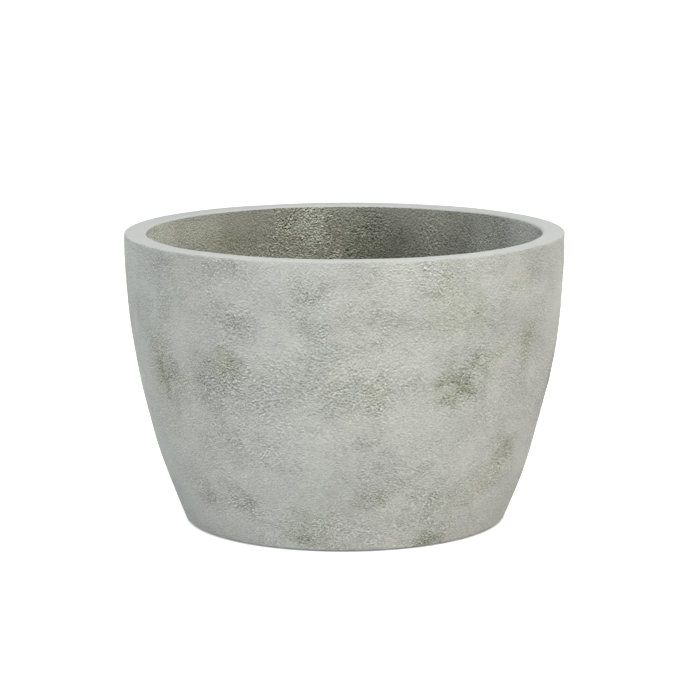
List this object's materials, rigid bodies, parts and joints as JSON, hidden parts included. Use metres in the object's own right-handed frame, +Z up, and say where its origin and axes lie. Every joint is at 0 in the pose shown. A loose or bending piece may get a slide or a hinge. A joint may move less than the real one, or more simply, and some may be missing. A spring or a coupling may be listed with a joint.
{
  "type": "round floor planter",
  "caption": "Round cast-concrete floor planter: a tapered bowl with a flat rim, a lined drain hole with screen and pull-out stopper, and rubber feet.",
  "frame": {"origin": "on the ground under the middle of the planter, level with the undersides of the foot pads", "axes": "+Z up along the axis of the bowl, +X right and +Y back as the picture shows it"},
  "size_m": [0.6, 0.5998, 0.396],
  "materials": {
    "concrete": "cast, weathered, matt",
    "sleeve_plastic": "moulded, satin",
    "screen_steel": "punched stainless sheet",
    "plug_rubber": "moulded, matt",
    "pad_rubber": "moulded, matt"
  },
  "bodies": {
    "planter": {"planter_shell": "concrete", "drain_sleeve": "sleeve_plastic", "drain_screen": "screen_steel", "foot_pad_front_left": "pad_rubber", "foot_pad_front_right": "pad_rubber", "foot_pad_rear_left": "pad_rubber", "foot_pad_rear_right": "pad_rubber"},
    "plug": {"drain_plug": "plug_rubber"}
  },
  "joints": [
    {"name": "plug_lift", "type": "slide", "parent": "planter", "child": "plug", "axis": [0, 0, 1], "range_m": [0, 0.4]}
  ]
}
